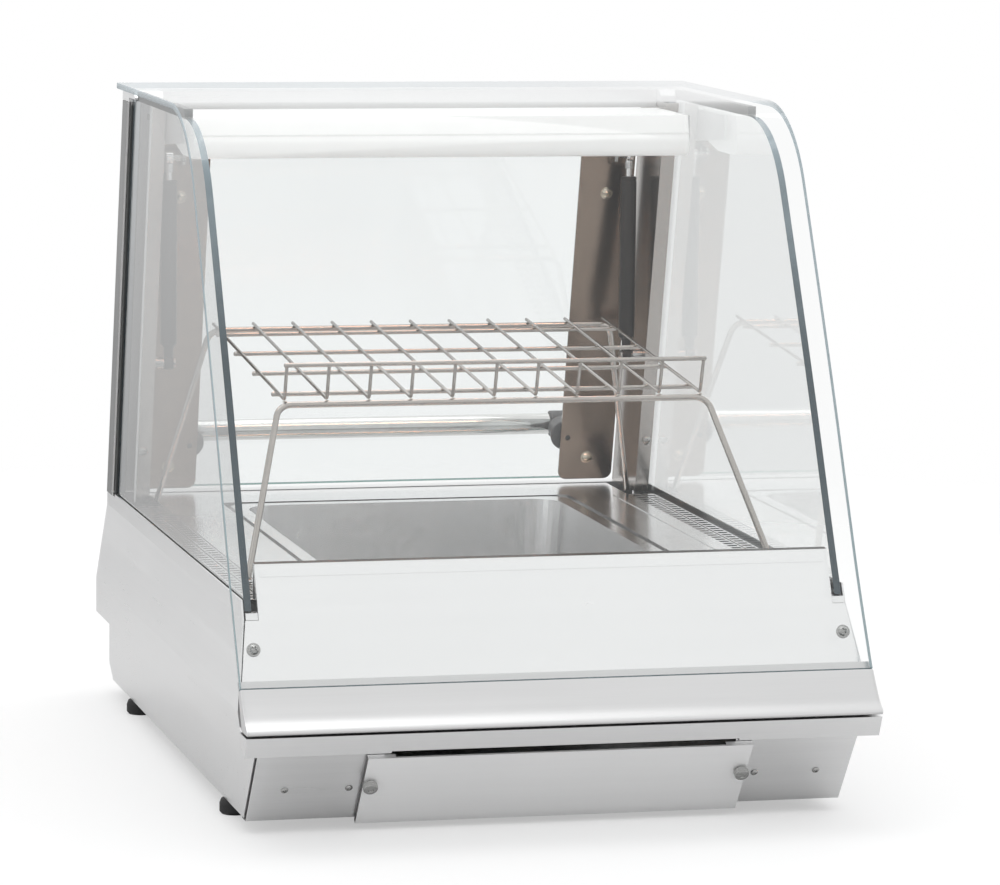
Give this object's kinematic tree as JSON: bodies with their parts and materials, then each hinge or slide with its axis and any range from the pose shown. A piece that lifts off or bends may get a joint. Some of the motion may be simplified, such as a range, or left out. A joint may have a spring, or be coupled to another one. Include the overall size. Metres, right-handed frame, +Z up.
{
  "type": "hot food display case",
  "caption": "Heated counter-top food display case with one-piece bent front and top glass, glass sides, pan well, wire plate shelf, overhead lamp and gas-strut rear flap.",
  "frame": {"origin": "centre of the overall box in X and Y, on the surface that the rubber feet stand on", "axes": "+Z up, -Y towards the customer (bent front glass), +Y towards the operator (flap and controls), +X to the customer's right as they face the case"},
  "size_m": [0.54, 0.7672, 0.585],
  "materials": {
    "stainless_panel": "fine brushed stainless sheet",
    "stainless_bright": "bright satin stainless sheet",
    "stainless_wire": "electropolished stainless wire",
    "polished_tube": "polished stainless tube",
    "satin_aluminium": "satin anodised extrusion",
    "white_painted": "satin white enamel",
    "clear_glass": "clear toughened glass with polished edges",
    "clear_pane": "clear sheet",
    "quartz_lamp": "frosted quartz tube",
    "black_rubber": "matt rubber",
    "black_plastic": "fine textured moulding",
    "dark_plastic": "fine textured moulding",
    "strut_black": "gloss black enamel",
    "zinc_screw": "bright plated fastener",
    "element_metal": "oxidised heater sheath",
    "phenolic": "heat-resistant moulding"
  },
  "bodies": {
    "case": {"base_tray": "stainless_panel", "rubber_feet": "black_rubber", "front_panel_left": "stainless_panel", "front_panel_right": "stainless_panel", "plinth_screws": "zinc_screw", "side_panel_left": "stainless_panel", "side_panel_right": "stainless_panel", "front_lip": "satin_aluminium", "bullnose": "satin_aluminium", "front_panel": "stainless_bright", "deck_plate": "stainless_panel", "air_grille_left": "stainless_panel", "air_grille_right": "stainless_panel", "well_tank": "stainless_panel", "heating_element": "element_metal", "element_clips": "element_metal", "front_glass": "clear_glass", "side_glass_left": "clear_glass", "side_glass_right": "clear_glass", "glass_gaskets": "black_rubber", "glass_clamps": "stainless_bright", "clamp_screws": "zinc_screw", "rear_post_left": "stainless_panel", "rear_post_right": "stainless_panel", "post_caps": "satin_aluminium", "post_screws": "zinc_screw", "top_rail": "stainless_panel", "rear_sill": "stainless_panel", "rear_panel": "stainless_panel", "lamp_housing": "white_painted", "lamp_end_caps": "white_painted", "lamp_reflector": "stainless_bright", "heat_lamp": "quartz_lamp", "lamp_brackets": "stainless_panel", "hinge_pins": "zinc_screw", "fan_frame": "black_plastic", "thermostat": "phenolic", "rear_fittings": "black_plastic"},
    "service_panel": {"service_panel": "stainless_panel"},
    "thumb_screw_left": {"thumb_screw_left": "zinc_screw"},
    "thumb_screw_right": {"thumb_screw_right": "zinc_screw"},
    "pan": {"gn_pan": "stainless_panel"},
    "shelf": {"shelf_front_loop": "stainless_wire", "shelf_rear_loop": "stainless_wire", "shelf_grid": "stainless_wire"},
    "rear_flap": {"flap_pane": "clear_pane", "flap_stile_left": "stainless_panel", "flap_stile_right": "stainless_panel", "flap_screws": "zinc_screw", "flap_handle": "polished_tube", "handle_mounts": "dark_plastic", "strut_studs": "zinc_screw"},
    "strut_tube_left": {"strut_tube_left": "strut_black"},
    "strut_tube_right": {"strut_tube_right": "strut_black"},
    "strut_rod_left": {"strut_rod_left": "polished_tube"},
    "strut_rod_right": {"strut_rod_right": "polished_tube"},
    "fan_rotor": {"fan_rotor": "black_plastic"},
    "thermostat_knob": {"thermostat_knob": "black_plastic"},
    "heat_switch": {"heat_switch": "black_plastic"},
    "lamp_switch": {"lamp_switch": "black_plastic"}
  },
  "joints": [
    {"name": "flap_hinge", "type": "hinge", "parent": "case", "child": "rear_flap", "pos_m": [0, 0.26365, 0.552], "axis": [1, 0, 0], "range_deg": [0, 80]},
    {"name": "strut_pivot_left", "type": "hinge", "parent": "case", "child": "strut_tube_left", "pos_m": [-0.22, 0.252, 0.325], "axis": [1, 0, 0], "range_deg": [-13, 0.5]},
    {"name": "strut_pivot_right", "type": "hinge", "parent": "case", "child": "strut_tube_right", "pos_m": [0.22, 0.252, 0.325], "axis": [1, 0, 0], "range_deg": [-13, 0.5]},
    {"name": "strut_slide_left", "type": "slide", "parent": "strut_tube_left", "child": "strut_rod_left", "axis": [0, 0, 1], "range_m": [-0.0005, 0.025]},
    {"name": "strut_slide_right", "type": "slide", "parent": "strut_tube_right", "child": "strut_rod_right", "axis": [0, 0, 1], "range_m": [-0.0005, 0.025]},
    {"name": "shelf_lift", "type": "slide", "parent": "case", "child": "shelf", "axis": [0, 0, 1], "range_m": [0, 0.04]},
    {"name": "pan_lift", "type": "slide", "parent": "case", "child": "pan", "axis": [0, 0, 1], "range_m": [0, 0.06]},
    {"name": "service_panel_pull", "type": "slide", "parent": "case", "child": "service_panel", "axis": [0, -1, 0], "range_m": [0, 0.05]},
    {"name": "thumb_screw_left_turn", "type": "hinge", "parent": "service_panel", "child": "thumb_screw_left", "pos_m": [-0.1591, -0.33773, 0.04789], "axis": [0, -0.7935, -0.6085], "continuous": true},
    {"name": "thumb_screw_right_turn", "type": "hinge", "parent": "service_panel", "child": "thumb_screw_right", "pos_m": [0.1591, -0.33773, 0.04789], "axis": [0, -0.7935, -0.6085], "continuous": true},
    {"name": "fan_spin", "type": "hinge", "parent": "case", "child": "fan_rotor", "pos_m": [-0.15, 0.34, 0.07], "axis": [0, 1, 0], "continuous": true},
    {"name": "thermostat_turn", "type": "hinge", "parent": "case", "child": "thermostat_knob", "pos_m": [0.15, 0.36, 0.142], "axis": [0, -1, 0], "range_deg": [0, 270]},
    {"name": "heat_switch_rock", "type": "hinge", "parent": "case", "child": "heat_switch", "pos_m": [0.096, 0.3525, 0.142], "axis": [1, 0, 0], "range_deg": [0, 16]},
    {"name": "lamp_switch_rock", "type": "hinge", "parent": "case", "child": "lamp_switch", "pos_m": [0.06, 0.3525, 0.142], "axis": [1, 0, 0], "range_deg": [0, 16]}
  ],
  "couplings": [
    {"joint": "strut_pivot_left", "follows": "flap_hinge", "ratio": -0.15529},
    {"joint": "strut_pivot_right", "follows": "flap_hinge", "ratio": -0.15529},
    {"joint": "strut_slide_left", "follows": "flap_hinge", "m_per_rad": 0.017273},
    {"joint": "strut_slide_right", "follows": "flap_hinge", "m_per_rad": 0.017273}
  ]
}
